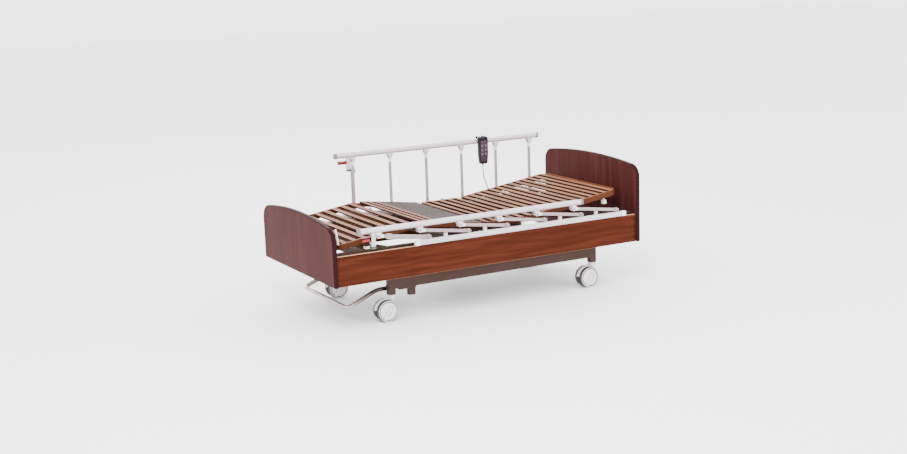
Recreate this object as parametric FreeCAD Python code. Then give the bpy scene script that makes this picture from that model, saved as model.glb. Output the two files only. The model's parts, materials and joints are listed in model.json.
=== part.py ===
"""Adjustable hospital bed: every separate piece as its own STEP file.

Frame: millimetres, origin on the floor under the middle of the bed, +X towards the
head, +Y towards the far side, +Z up. The bed stands at its lowest height, with the back
section a little raised, the knee a little raised, the near side rail folded down and the
far side rail locked upright.
"""
import math
import os

import FreeCAD
import Part

V = FreeCAD.Vector
os.makedirs("parts", exist_ok=True)

# ---- driving dimensions ------------------------------------------------------------
BED_LENGTH = 2040.0
BED_WIDTH = 1020.0
BOARD_THICK = 28.0
BOARD_BOTTOM = 275.0
FOOT_TOP, FOOT_SHOULDER, FOOT_CORNER = 632.0, 591.0, 90.0
HEAD_TOP, HEAD_SHOULDER, HEAD_CORNER = 773.0, 739.0, 78.0
BOARD_EDGE_ROUND = 8.0

PANEL_OUT, PANEL_THICK = 495.0, 19.0
PANEL_BOTTOM, PANEL_TOP = 275.0, 444.0

LEG_FOOT_X, LEG_HEAD_X, LEG_Y = -600.0, 775.0, 340.0
LEG_SIZE, LEG_BOTTOM, STEM_SOCKET = 40.0, 150.0, 42.0
BEAM_BOTTOM, BEAM_TOP = 183.0, 243.0
CHASSIS_CROSS_XS, CHASSIS_CROSS_Z = (-520.0, 700.0), (193.0, 233.0)
FOOT_BLOCK, FOOT_TOOTH = (-555.0, -448.0, 173.0), (-492.0, -451.0, 132.0)
TUBE_WALL = 2.0

WHEEL_R, WHEEL_IN, WHEEL_OUT, WHEEL_TRAIL = 63.5, 9.0, 38.0, 38.0
STEM_R, AXLE_R = 11.0, 6.0
RUN_FIT = 0.05

ARM_LENGTH, ARM_REST = 560.0, 15.0
ARM_PIVOT_Z = 213.0
ARM_MAIN_X, ARM_SECOND_X = 481.0, -119.0
ARM_IN, ARM_OUT, ARM_WIDE = 262.0, 282.0, 44.0
ARM_PIN_R, ARM_PLATE_HALF, ARM_PLATE_THICK = 12.0, 30.0, 12.0
TORSION_R, ARM_CROSS_R = 21.0, 17.0
LEVER_LENGTH, LEVER_BACK = 130.0, 19.0
ACTUATOR_X, ACTUATOR_Z = 19.0, 250.0
ACTUATOR_LUG_IN, ACTUATOR_LUG_OUT, ACTUATOR_EYE_R, ACTUATOR_PIN_R = 26.0, 32.0, 18.0, 8.0
ACTUATOR_TUBE_R, ACTUATOR_ROD_R = 20.0, 11.0

RAIL_IN, RAIL_OUT, RAIL_BOTTOM, RAIL_TOP = 414.0, 444.0, 398.0, 450.0
CROSS_SIZE = 40.0
CROSS_XS = (-960.0, -721.0, -120.0, 330.0, 640.0)
HEAD_CROSS_X = 880.0
PANEL_BRACKET_XS = (-400.0, 100.0, 800.0)
ARM_LUG_IN, ARM_LUG_OUT = 288.0, 298.0
SEAT_TUBES = ((24.0, 54.0), (200.0, 230.0))
SEAT_TUBE_TOP = 473.0

PEDAL_Y, PEDAL_Z, PEDAL_R = 305.0, 180.0, 12.5
PEDAL_PIN_R, PEDAL_BOSS_R, PEDAL_BEND = 8.0, 16.0, 30.0
PEDAL_KNEE_X, PEDAL_END_X, PEDAL_END_Z = -674.0, -858.0, 101.0

DECK_HALF, MEMBER_WIDE, MEMBER_HIGH, END_WIDE = 412.0, 28.0, 22.0, 34.0
LIP_WIDE, LIP_START = 14.0, 24.0
SLAT_THICK, SLAT_WIDE, SLAT_ROUND = 10.0, 28.0, 2.5
SLAT_HALF = DECK_HALF - LIP_WIDE - 0.5
HINGE_PLATE = 7.0
HINGE_Z = 484.0
BACK_HINGE_X, BACK_LENGTH, BACK_REST = 275.0, 660.0, 8.0
BACK_PAD_X, BACK_PAD_HIGH, BACK_PAD_DEEP = 563.0, 26.0, 52.0
THIGH_HINGE_X, THIGH_LENGTH, THIGH_REST = -10.0, 434.0, 7.6
CALF_LENGTH, CALF_REST = 510.0, 8.2
CALF_TAB, CALF_FOOT_Y = 337.0, 250.0
STOP_Y, STOP_R, STOP_TOP = 405.0, 5.5, 112.0
REST_BLOCK_X, REST_BLOCK_TOP = -780.0, 472.0
HINGE_PIN_R = 6.0

DRIVE_SHAFT_R, DRIVE_SHAFT_Z = 14.0, 424.0
BACK_SHAFT_X, KNEE_SHAFT_X = 225.0, 40.0
DRIVE_ARM, DRIVE_ARM_Y, DRIVE_ARM_WIDE, DRIVE_ROLLER_R = 240.0, 150.0, 16.0, 14.0
BACK_BARS = (178.5, 327.0, 475.5)
GLIDE_START = 143.0
BACK_LIMIT, THIGH_LIMIT = 65.0, 34.6

POST_COUNT, POST_PITCH, POST_FIRST_X = 6, 256.0, -424.0
POST_PIVOT_Z, POST_LENGTH, POST_R, POST_Y = 488.0, 318.0, 9.5, 491.0
POST_PIN_R, POST_BALL_R = 4.0, 13.0
FOLDED_ANGLE = 7.65
TOP_RAIL_RISE, TOP_RAIL_HIGH, TOP_RAIL_WIDE = 34.0, 33.0, 24.0
TOP_RAIL_FOOT, TOP_RAIL_HEAD = 120.0, 68.0
BASE_RAIL_X0, BASE_RAIL_X1 = -510.0, 919.0
BASE_RAIL_Z0, BASE_RAIL_Z1 = 444.3, 474.3
LUG_IN, LUG_OUT = 476.0, 480.0
CHEEK_IN, CHEEK_OUT = 502.3, 505.0
BUFFER_BACK, BUFFER_TOP = 150.0, 496.5

HANDSET_X, HANDSET_Y, HANDSET_WIDE, HANDSET_DEEP = 490.0, 461.5, 66.0, 26.0
HANDSET_Z0, HANDSET_Z1 = 693.0, 869.0
HOOK_TOP = 870.5
BUTTON_R, BUTTON_STEP_X, BUTTON_STEP_Z = 8.5, 26.0, 27.0

CORD_R = 3.25
CORD_POINTS = [
    (486, 461, 684.5), (486, 461, 634), (498, 462, 585), (521, 462, 529), (552, 461, 466),
    (570, 460, 398), (556, 460, 333), (504, 459, 297), (436, 458, 282), (366, 454, 279),
    (298, 444, 286), (236, 419, 299), (182, 376, 308), (140, 327, 318), (104, 301, 350),
    (100, 300, 391.6),
]


# ---- small helpers -----------------------------------------------------------------
def box(x0, x1, y0, y1, z0, z1):
    """Axis-aligned block between two corners, in any order."""
    low = V(min(x0, x1), min(y0, y1), min(z0, z1))
    return Part.makeBox(abs(x1 - x0), abs(y1 - y0), abs(z1 - z0), low)


def rod(p0, p1, radius):
    """Round bar between two points."""
    start, end = V(*p0), V(*p1)
    return Part.makeCylinder(radius, (end - start).Length, start, end - start)


def ycyl(x, z, radius, y0, y1):
    """Round bar along Y."""
    return rod((x, min(y0, y1), z), (x, max(y0, y1), z), radius)


def pipe(p0, p1, radius, wall):
    """Round tube between two points."""
    return rod(p0, p1, radius).cut(rod(p0, p1, radius - wall))


def join(shapes):
    """One shape fused from many, with its seams cleaned."""
    shapes = list(shapes)
    if len(shapes) == 1:
        return shapes[0]
    return shapes[0].fuse(shapes[1:]).removeSplitter()


def tube_x(x0, x1, y0, y1, z0, z1):
    """Square steel tube along X, open at its ends."""
    inner = box(x0, x1, min(y0, y1) + TUBE_WALL, max(y0, y1) - TUBE_WALL, z0 + TUBE_WALL, z1 - TUBE_WALL)
    return box(x0, x1, y0, y1, z0, z1).cut(inner)


def tube_y(x0, x1, y0, y1, z0, z1):
    """Square steel tube along Y, open at its ends."""
    inner = box(x0 + TUBE_WALL, x1 - TUBE_WALL, y0, y1, z0 + TUBE_WALL, z1 - TUBE_WALL)
    return box(x0, x1, y0, y1, z0, z1).cut(inner)


def plate_y(points, y0, y1):
    """Flat plate with the given XZ outline, between two Y values."""
    low = min(y0, y1)
    wire = Part.makePolygon([V(x, low, z) for x, z in points] + [V(points[0][0], low, points[0][1])])
    return Part.Face(wire).extrude(V(0, abs(y1 - y0), 0))


def strap(x0, z0, x1, z1, width, y0, y1):
    """Flat bar with round ends between two pivots, lying in an XZ plane."""
    length = math.hypot(x1 - x0, z1 - z0)
    nx, nz = -(z1 - z0) / length * width / 2, (x1 - x0) / length * width / 2
    outline = [(x0 + nx, z0 + nz), (x1 + nx, z1 + nz), (x1 - nx, z1 - nz), (x0 - nx, z0 - nz)]
    ends = [ycyl(x0, z0, width / 2, y0, y1), ycyl(x1, z1, width / 2, y0, y1)]
    return join([plate_y(outline, y0, y1)] + ends)


def turned(shape, x, z, degrees):
    """A copy turned about the Y axis through (x, z); positive lifts the -X side."""
    copy = shape.copy()
    copy.rotate(V(x, 0, z), V(0, 1, 0), degrees)
    return copy


def on_circle(x, z, radius, degrees):
    """Point at an angle from the -X direction, turning up."""
    a = math.radians(degrees)
    return x - radius * math.cos(a), z + radius * math.sin(a)


def bent_bar(points, radius, reach):
    """Round bar of straight runs joined by tangent arcs.

    reach gives, from the two runs' lengths, how far from its corner each arc starts.
    Returns the bar, its length and the arcs' radii.
    """
    points = [V(*p) for p in points]
    edges, radii, at = [], [], points[0]
    for before, corner, after in zip(points[:-2], points[1:-1], points[2:]):
        first, second = corner - before, after - corner
        half = first.getAngle(second) / 2
        cut = reach(first.Length, second.Length)
        bend = cut / math.tan(half)
        radii.append(round(bend, 1))
        d1, d2 = V(first).normalize(), V(second).normalize()
        start, end = corner - d1 * cut, corner + d2 * cut
        middle = corner + V(d2 - d1).normalize() * (math.hypot(bend, cut) - bend)
        edges.append(Part.LineSegment(at, start).toShape())
        edges.append(Part.Arc(start, middle, end).toShape())
        at = end
    edges.append(Part.LineSegment(at, points[-1]).toShape())
    wire = Part.Wire(edges)
    ring = Part.Wire(Part.makeCircle(radius, points[0], points[1] - points[0]))
    return wire.makePipeShell([ring], True, False), wire.Length, radii


def save(node, shape):
    """Write one node's STEP file."""
    shape.exportStep(f"parts/{node}.step")
    print(f"{node}: {len(shape.Solids)} solid(s), valid {shape.isValid()}, {shape.Volume / 1000:.0f} cm3")


# ---- boards and panels -------------------------------------------------------------
def board(x0, top, shoulder, corner):
    """Arched end board: straight sides, round shoulders and a shallow arc on top."""
    half = BED_WIDTH / 2
    arc = Part.Arc(V(x0, -half, shoulder), V(x0, 0, top), V(x0, half, shoulder)).toShape()
    outline = [(half, shoulder), (half, BOARD_BOTTOM), (-half, BOARD_BOTTOM), (-half, shoulder)]
    corners = [V(x0, y, z) for y, z in outline]
    sides = [Part.makeLine(a, b) for a, b in zip(corners[:-1], corners[1:])]
    solid = Part.Face(Part.Wire([arc] + sides)).extrude(V(BOARD_THICK, 0, 0))
    shoulders = [e for e in solid.Edges
                 if abs(e.Length - BOARD_THICK) < 0.01 and e.CenterOfMass.z > shoulder - 1]
    solid = solid.makeFillet(corner, shoulders)
    rim = [e for e in solid.Edges if abs(e.BoundBox.XLength) < 0.01]
    return solid.makeFillet(BOARD_EDGE_ROUND, rim)


def side_panel(side):
    """Long wooden panel between the two boards."""
    x_end = BED_LENGTH / 2 - BOARD_THICK
    outer, inner = side * PANEL_OUT, side * (PANEL_OUT - PANEL_THICK)
    panel = box(-x_end, x_end, inner, outer, PANEL_BOTTOM, PANEL_TOP)
    long_edges = [e for e in panel.Edges if e.Length > BED_WIDTH]
    return panel.makeFillet(2.0, long_edges)


# ---- chassis and casters -----------------------------------------------------------
LEG_XS = {"foot": LEG_FOOT_X, "head": LEG_HEAD_X}
SIDES = {"near": -1, "far": 1}


def chassis():
    """Welded base: two beams, four legs, cross tubes, bearing plates and actuator lugs."""
    parts, holes = [], []
    half = LEG_SIZE / 2
    for side in (-1, 1):
        y0, y1 = side * (LEG_Y - half), side * (LEG_Y + half)
        parts.append(tube_x(LEG_FOOT_X + half, LEG_HEAD_X - half, y0, y1, BEAM_BOTTOM, BEAM_TOP))
        for x in LEG_XS.values():
            parts.append(box(x - half, x + half, y0, y1, LEG_BOTTOM, BEAM_TOP))
            socket_top = LEG_BOTTOM + STEM_SOCKET
            holes.append(rod((x, side * LEG_Y, LEG_BOTTOM), (x, side * LEG_Y, socket_top), STEM_R + RUN_FIT))
        for x in (ARM_MAIN_X, ARM_SECOND_X):
            plate_in = side * (LEG_Y - half - ARM_PLATE_THICK)
            parts.append(box(x - ARM_PLATE_HALF, x + ARM_PLATE_HALF, plate_in, y0, BEAM_BOTTOM, BEAM_TOP))
            holes.append(ycyl(x, ARM_PIVOT_Z, ARM_PIN_R + RUN_FIT, side * 300, side * (LEG_Y - half)))
        holes.append(ycyl(LEG_FOOT_X, PEDAL_Z, PEDAL_PIN_R + RUN_FIT, side * 300, side * (LEG_Y - STEM_R - 1)))
        block_x0, block_x1, block_z = FOOT_BLOCK
        tooth_x0, tooth_x1, tooth_z = FOOT_TOOTH
        parts.append(box(block_x0, block_x1, side * (LEG_Y - 18), side * (LEG_Y + 18), block_z, BEAM_BOTTOM))
        parts.append(box(tooth_x0, tooth_x1, side * (LEG_Y - 14), side * (LEG_Y + 14), tooth_z, block_z))
    inner = LEG_Y - half
    for x in CHASSIS_CROSS_XS + (ACTUATOR_X,):
        parts.append(tube_y(x - half, x + half, -inner, inner, *CHASSIS_CROSS_Z))
    for side in (-1, 1):
        y0, y1 = side * ACTUATOR_LUG_IN, side * ACTUATOR_LUG_OUT
        x0, x1 = ACTUATOR_X - ACTUATOR_EYE_R, ACTUATOR_X + ACTUATOR_EYE_R
        lug = box(x0, x1, y0, y1, CHASSIS_CROSS_Z[1], ACTUATOR_Z)
        parts.append(join([lug, ycyl(ACTUATOR_X, ACTUATOR_Z, ACTUATOR_EYE_R, y0, y1)]))
    parts.append(ycyl(ACTUATOR_X, ACTUATOR_Z, ACTUATOR_PIN_R, -ACTUATOR_LUG_OUT, ACTUATOR_LUG_OUT))
    frame = join(parts)
    for hole in holes:
        frame = frame.cut(hole)
    return frame


def caster_fork(x, y):
    """Swivel housing between the twin wheels, with its stem and a hood over the wheels."""
    ax, az = x - WHEEL_TRAIL, WHEEL_R
    stem = rod((x, y, LEG_BOTTOM - 6), (x, y, LEG_BOTTOM + 40), STEM_R)
    collar = rod((x, y, 128), (x, y, LEG_BOTTOM - 0.3), 23)
    web = plate_y([(x - 20, 136), (x + 20, 136), (x + 14, 100), (ax + 20, az), (ax - 20, az)], y - 8, y + 8)
    boss = ycyl(ax, az, 20, y - 8, y + 8)
    hood = ycyl(ax, az, WHEEL_R + 6, y - 8, y + 8)
    hood = hood.common(box(ax - 75, x + 22, y - 8, y + 8, az + 8, 136))
    bore = ycyl(ax, az, AXLE_R + RUN_FIT, y - 8, y + 8)
    return join([stem, collar, web, boss, hood]).cut(bore)


def caster_wheels(x, y):
    """Two wheels on one axle."""
    ax, az = x - WHEEL_TRAIL, WHEEL_R
    pieces = [ycyl(ax, az, AXLE_R, y - WHEEL_OUT + 4, y + WHEEL_OUT - 4)]
    for side in (-1, 1):
        wheel = ycyl(ax, az, WHEEL_R, y + side * WHEEL_IN, y + side * WHEEL_OUT)
        rims = [e for e in wheel.Edges if e.Closed and e.Length > 6 * WHEEL_R]
        pieces.append(wheel.makeFillet(5.0, rims))
    return join(pieces)


def brake_pedal():
    """U-shaped pedal bar under the foot end, turning on two pins in the foot legs."""
    side_view = [(LEG_FOOT_X, PEDAL_Z), (PEDAL_KNEE_X, PEDAL_Z), (PEDAL_END_X, PEDAL_END_Z)]
    route = [(x, PEDAL_Y, z) for x, z in side_view] + [(x, -PEDAL_Y, z) for x, z in reversed(side_view)]
    parts = [bent_bar(route, PEDAL_R, lambda before, after: PEDAL_BEND)[0]]
    for side in (-1, 1):
        parts.append(ycyl(LEG_FOOT_X, PEDAL_Z, PEDAL_BOSS_R, side * 290, side * 318))
        parts.append(ycyl(LEG_FOOT_X, PEDAL_Z, PEDAL_PIN_R, side * 318, side * (LEG_Y - STEM_R - 2)))
    return join(parts)


# ---- lift --------------------------------------------------------------------------
def lift_arm(x, with_lever, upper_pin):
    """Swing arm: two flat side bars, a torsion tube below and a cross tube above."""
    ux, uz = on_circle(x, ARM_PIVOT_Z, ARM_LENGTH, ARM_REST)
    parts = [pipe((x, -ARM_IN, ARM_PIVOT_Z), (x, ARM_IN, ARM_PIVOT_Z), TORSION_R, 4)]
    parts.append(pipe((ux, -ARM_IN, uz), (ux, ARM_IN, uz), ARM_CROSS_R, 3))
    for side in (-1, 1):
        parts.append(strap(x, ARM_PIVOT_Z, ux, uz, ARM_WIDE, side * ARM_IN, side * ARM_OUT))
        parts.append(ycyl(x, ARM_PIVOT_Z, ARM_PIN_R, side * ARM_OUT, side * 319))
        parts.append(ycyl(ux, uz, upper_pin, side * ARM_OUT, side * 300))
    if with_lever:
        lx, lz = lever_end(0.0)
        root_z = ARM_PIVOT_Z + 4
        lever = plate_y([(x - 21, root_z), (lx - 16, lz), (lx + 16, lz), (x + 21, root_z)], -6, 6)
        lever = join([lever, ycyl(lx, lz, 16, -6, 6)]).cut(ycyl(x, ARM_PIVOT_Z, 19, -6, 6))
        parts.append(lever)
        parts.append(ycyl(lx, lz, 7, -20, 20))
    return join(parts)


def lever_end(lift):
    """Centre of the lever's pin when the arm is lifted by so many degrees."""
    a = math.radians(90 - LEVER_BACK + lift)
    return ARM_MAIN_X - LEVER_LENGTH * math.cos(a), ARM_PIVOT_Z + LEVER_LENGTH * math.sin(a)


def along_actuator(shape):
    """Turn a shape drawn along +X from the actuator's rear pivot onto its real line."""
    lx, lz = lever_end(0.0)
    angle = math.degrees(math.atan2(lz - ACTUATOR_Z, lx - ACTUATOR_X))
    return turned(shape, ACTUATOR_X, ACTUATOR_Z, -angle)


def lift_actuator():
    """Linear actuator's housing: rear eye, guide tube and motor."""
    x, z = ACTUATOR_X, ACTUATOR_Z
    body = join([
        ycyl(x, z, 16, -14, 14),
        box(x, x + 60, -14, 14, z - 16, z + 16),
        box(x + 45, x + 120, -32, 32, z - 30, z + 28),
        rod((x + 118, 0, z), (x + 330, 0, z), ACTUATOR_TUBE_R),
        rod((x + 60, -30, z), (x + 60, -112, z), 28),
    ])
    body = body.cut(ycyl(x, z, ACTUATOR_PIN_R + RUN_FIT, -14, 14))
    body = body.cut(rod((x + 110, 0, z), (x + 330, 0, z), ACTUATOR_ROD_R + 0.5))
    return along_actuator(body)


def lift_actuator_rod():
    """Actuator's rod with a fork whose eyes are wider than the lever's pin."""
    lx, lz = lever_end(0.0)
    length = math.hypot(lx - ACTUATOR_X, lz - ACTUATOR_Z)
    x, z = ACTUATOR_X, ACTUATOR_Z
    fork = join([
        rod((x + 125, 0, z), (x + length - 40, 0, z), ACTUATOR_ROD_R),
        box(x + length - 45, x + length, -18, 18, z - 19, z + 19),
        ycyl(x + length, z, 19, -18, 18),
    ])
    fork = fork.cut(box(x + length - 30, x + length + 30, -9, 9, z - 30, z + 30))
    fork = fork.cut(ycyl(x + length, z, 13, -18, 18))
    return along_actuator(fork)


# ---- upper frame -------------------------------------------------------------------
def upper_frame():
    """Welded frame that carries the sections, boards, panels and side rails."""
    parts, holes = [], []
    x_end = BED_LENGTH / 2 - BOARD_THICK
    inner = DECK_HALF - MEMBER_WIDE
    for side in (-1, 1):
        parts.append(tube_x(-x_end + 4, x_end - 4, side * RAIL_IN, side * RAIL_OUT, RAIL_BOTTOM, RAIL_TOP))
        for end in (-1, 1):
            parts.append(box(end * (x_end - 4), end * x_end, side * 380, side * 450, 350, 455))
        for x in PANEL_BRACKET_XS:
            parts.append(box(x - 20, x + 20, side * RAIL_OUT, side * LUG_IN, 405, 440))
            parts.append(box(x - 20, x + 20, side * (LUG_IN - 5), side * LUG_IN, 405, 470))
        x0, x1 = REST_BLOCK_X - 15, REST_BLOCK_X + 15
        parts.append(box(x0, x1, side * 418, side * 442, RAIL_TOP, REST_BLOCK_TOP))
        shelf_x, shelf_top = BACK_HINGE_X + BACK_PAD_X, HINGE_Z - BACK_PAD_DEEP - 1
        parts.append(box(shelf_x - 17, shelf_x + 17, side * 372, side * RAIL_IN, shelf_top - 5, shelf_top))
        for x, reach in ((ARM_MAIN_X, 0.3), (ARM_SECOND_X, 2.0)):
            ux, uz = on_circle(x, ARM_PIVOT_Z, ARM_LENGTH, ARM_REST)
            back = ux - 60 - CROSS_SIZE / 2
            lug = plate_y([(back, RAIL_BOTTOM), (back, 360), (ux - 20, uz - 24), (ux + 22, uz - 20),
                           (ux + 24, uz + 22), (ux - 38, RAIL_BOTTOM)], side * ARM_LUG_IN, side * ARM_LUG_OUT)
            parts.append(lug)
            holes.append(ycyl(ux, uz, 13 + (RUN_FIT if reach < 1 else 1.0), side * 284, side * 302))
        plate_in, plate_out = side * (inner - HINGE_PLATE), side * (inner - 1)
        for x, end in ((BACK_HINGE_X, 1), (THIGH_HINGE_X, -1)):
            parts.append(box(x - end * 70, x + end * 9, plate_in, plate_out, SEAT_TUBE_TOP - 1, HINGE_Z + 9))
            parts.append(ycyl(x, HINGE_Z, HINGE_PIN_R, plate_in, side * (DECK_HALF - 2)))
        for x in (BACK_SHAFT_X, KNEE_SHAFT_X):
            parts.append(box(x - 22, x + 22, side * 196, side * 204, DRIVE_SHAFT_Z - 20, 452))
            holes.append(ycyl(x, DRIVE_SHAFT_Z, DRIVE_SHAFT_R + RUN_FIT, side * 190, side * 210))
    half = CROSS_SIZE / 2
    for x in CROSS_XS:
        parts.append(tube_y(x - half, x + half, -RAIL_OUT, RAIL_OUT, RAIL_BOTTOM - CROSS_SIZE, RAIL_BOTTOM))
    x = HEAD_CROSS_X
    parts.append(tube_y(x - half, x + half, -RAIL_IN, RAIL_IN, RAIL_TOP - CROSS_SIZE, RAIL_TOP))
    for x0, x1 in SEAT_TUBES:
        parts.append(tube_y(x0, x1, -RAIL_OUT, RAIL_OUT, RAIL_TOP, SEAT_TUBE_TOP))
    frame = join(parts)
    for hole in holes:
        frame = frame.cut(hole)
    return frame


# ---- deck sections -----------------------------------------------------------------
def slat(x):
    """One cross slat between the lips of a section's frame, centred at x."""
    z0 = HINGE_Z + MEMBER_HIGH / 2
    piece = box(x - SLAT_WIDE / 2, x + SLAT_WIDE / 2, -SLAT_HALF, SLAT_HALF, z0, z0 + SLAT_THICK)
    return piece.makeFillet(SLAT_ROUND, [e for e in piece.Edges if e.Length > SLAT_HALF])


def lips(x0, x1):
    """Raised outer lips of both side members, level with the slats."""
    z1 = HINGE_Z + MEMBER_HIGH / 2
    z2, lip_in = z1 + SLAT_THICK, DECK_HALF - LIP_WIDE
    return [box(x0, x1, side * lip_in, side * DECK_HALF, z1, z2) for side in (-1, 1)]


def ladder(x_hinge, x_far, bars, corner):
    """Wooden section frame from a hinge at one end to a rounded cross member at the other."""
    z0, z1 = HINGE_Z - MEMBER_HIGH / 2, HINGE_Z + MEMBER_HIGH / 2
    z2 = z1 + SLAT_THICK
    inner, lip_in = DECK_HALF - MEMBER_WIDE, DECK_HALF - LIP_WIDE
    away = 1 if x_far > x_hinge else -1
    outer = box(x_hinge, x_far, -DECK_HALF, DECK_HALF, z0, z2)
    ends = [e for e in outer.Edges if abs(e.CenterOfMass.x - x_far) < 0.01 and abs(e.Length - (z2 - z0)) < 0.01]
    frame = outer.makeFillet(corner, ends)
    frame = frame.cut(box(x_hinge - away, x_far - away * END_WIDE, -inner, inner, z0, z2))
    frame = frame.cut(box(x_hinge - away, x_far - away * LIP_WIDE, -lip_in, lip_in, z1, z2))
    frame = frame.cut(box(x_hinge - away, x_hinge + away * LIP_START, -DECK_HALF, DECK_HALF, z1, z2))
    parts = [frame]
    for side in (-1, 1):
        parts.append(ycyl(x_hinge, HINGE_Z, MEMBER_HIGH / 2, side * inner, side * DECK_HALF))
    for x in bars:
        parts.append(box(x - 15, x + 15, -inner, inner, z0, z1))
    frame = join(parts)
    for side in (-1, 1):
        bore = ycyl(x_hinge, HINGE_Z, HINGE_PIN_R + RUN_FIT, side * (inner - 5), side * (DECK_HALF - 1.5))
        frame = frame.cut(bore)
    return frame


def seat_frame():
    """Fixed seat members between the two section hinges."""
    z0, z1 = HINGE_Z - MEMBER_HIGH / 2, HINGE_Z + MEMBER_HIGH / 2
    gap = MEMBER_HIGH / 2 + 2
    inner = DECK_HALF - MEMBER_WIDE
    parts = []
    for side in (-1, 1):
        parts.append(box(THIGH_HINGE_X + gap, BACK_HINGE_X - gap, side * inner, side * DECK_HALF, z0, z1))
    for x in (86.0, 176.0):
        parts.append(box(x - 15, x + 15, -inner, inner, z0, z1))
    return join(parts + lips(THIGH_HINGE_X + gap, BACK_HINGE_X - gap))


def back_frame():
    """Back section's ladder frame with two glide strips for the drive's rollers."""
    bars = [BACK_HINGE_X + d for d in BACK_BARS]
    frame = ladder(BACK_HINGE_X, BACK_HINGE_X + BACK_LENGTH, bars, 60)
    z0 = HINGE_Z - MEMBER_HIGH / 2
    glides = [box(BACK_HINGE_X + GLIDE_START, bars[1], side * 140, side * 160, z0, z0 + 10) for side in (-1, 1)]
    return turned(join([frame] + glides), BACK_HINGE_X, HINGE_Z, -BACK_REST)


def back_slats():
    """Thirteen slats of the back section."""
    slats = [slat(BACK_HINGE_X + 30 + 49.5 * i) for i in range(13)]
    return turned(Part.makeCompound(slats), BACK_HINGE_X, HINGE_Z, -BACK_REST)


def back_pads():
    """Nylon feet under the back section, which meet the frame's shelves when it is flat."""
    x, y = BACK_HINGE_X + BACK_PAD_X, 386
    top, bottom = HINGE_Z - MEMBER_HIGH / 2, HINGE_Z - BACK_PAD_DEEP
    feet = []
    for side in (-1, 1):
        foot = box(x - 13, x + 13, side * (y - 12), side * (y + 12), bottom, bottom + BACK_PAD_HIGH)
        foot = foot.makeFillet(4, foot.Edges)
        feet.append(join([foot, rod((x, side * y, bottom + 10), (x, side * y, top), 6)]))
    return turned(Part.makeCompound(feet), BACK_HINGE_X, HINGE_Z, -BACK_REST)


def thigh_frame():
    """Thigh section: short ladder with the knee's hinge plates and pins."""
    far = THIGH_HINGE_X - THIGH_LENGTH
    inner = DECK_HALF - MEMBER_WIDE
    z0, z1 = HINGE_Z - MEMBER_HIGH / 2, HINGE_Z + MEMBER_HIGH / 2
    parts = []
    for side in (-1, 1):
        parts.append(box(THIGH_HINGE_X, far + MEMBER_HIGH / 2 + 2, side * inner, side * DECK_HALF, z0, z1))
        parts.append(ycyl(THIGH_HINGE_X, HINGE_Z, MEMBER_HIGH / 2, side * inner, side * DECK_HALF))
        plate_in = side * (inner - HINGE_PLATE)
        parts.append(box(far - 9, far + 30, plate_in, side * (inner - 1), HINGE_Z - 9, HINGE_Z + 9))
        parts.append(box(far + 20, far + 70, plate_in, side * inner, HINGE_Z - 9, HINGE_Z + 9))
        parts.append(ycyl(far, HINGE_Z, HINGE_PIN_R, plate_in, side * (DECK_HALF - 2)))
        parts.append(box(THIGH_HINGE_X - 310, THIGH_HINGE_X - 60, side * 140, side * 160, z0, z0 + 10))
    for x in (THIGH_HINGE_X - 60, THIGH_HINGE_X - 185, THIGH_HINGE_X - 310):
        parts.append(box(x - 15, x + 15, -inner, inner, z0, z1))
    frame = join(parts + lips(THIGH_HINGE_X - LIP_START, far + LIP_START))
    for side in (-1, 1):
        bore = ycyl(THIGH_HINGE_X, HINGE_Z, HINGE_PIN_R + RUN_FIT, side * (inner - 5), side * (DECK_HALF - 1.5))
        frame = frame.cut(bore)
    return turned(frame, THIGH_HINGE_X, HINGE_Z, THIGH_REST)


def thigh_slats():
    """Slats beside the knee."""
    slats = [slat(THIGH_HINGE_X - d) for d in (310, 364, 415)]
    return turned(Part.makeCompound(slats), THIGH_HINGE_X, HINGE_Z, THIGH_REST)


def mesh_panel():
    """Wire grid of the thigh section: close cross wires on a few long ones."""
    z = HINGE_Z + MEMBER_HIGH / 2 + 6
    near_x, far_x = THIGH_HINGE_X - 24, THIGH_HINGE_X - 282
    pitch = (near_x - far_x) / 15
    wires = [rod((near_x - pitch * i, -390, z), (near_x - pitch * i, 390, z), 2.5) for i in range(16)]
    long_wires = [rod((near_x, -384 + 96 * i, z - 3.5), (far_x, -384 + 96 * i, z - 3.5), 2.5) for i in range(9)]
    return turned(join(wires + long_wires), THIGH_HINGE_X, HINGE_Z, THIGH_REST)


def knee():
    """The knee hinge's axis at rest."""
    return on_circle(THIGH_HINGE_X, HINGE_Z, THIGH_LENGTH, THIGH_REST)


def placed_at_knee(shape):
    """Move a calf piece drawn flat with its hinge at the hip height onto the knee."""
    x, z = knee()
    copy = shape.copy()
    copy.translate(V(x, 0, z - HINGE_Z))
    return turned(copy, x, z, -CALF_REST)


def calf_frame():
    """Calf section's frame with side tabs and two rest feet, which meet the frame when it is flat."""
    z0, z1 = HINGE_Z - MEMBER_HIGH / 2, HINGE_Z + MEMBER_HIGH / 2
    parts = [ladder(0, -CALF_LENGTH, (-108, -224, -340, -398), 45)]
    for side in (-1, 1):
        parts.append(box(-CALF_TAB - 12, -CALF_TAB + 12, side * (DECK_HALF - 2), side * 432, HINGE_Z, z1))
        parts.append(strap(-398, z0 + 3, -296, z0 - 51, 22, side * (CALF_FOOT_Y - 4), side * (CALF_FOOT_Y + 4)))
    return placed_at_knee(join(parts))


def calf_slats():
    """Eight slats of the calf section."""
    return placed_at_knee(Part.makeCompound([slat(-50 - 58 * i) for i in range(8)]))


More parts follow.
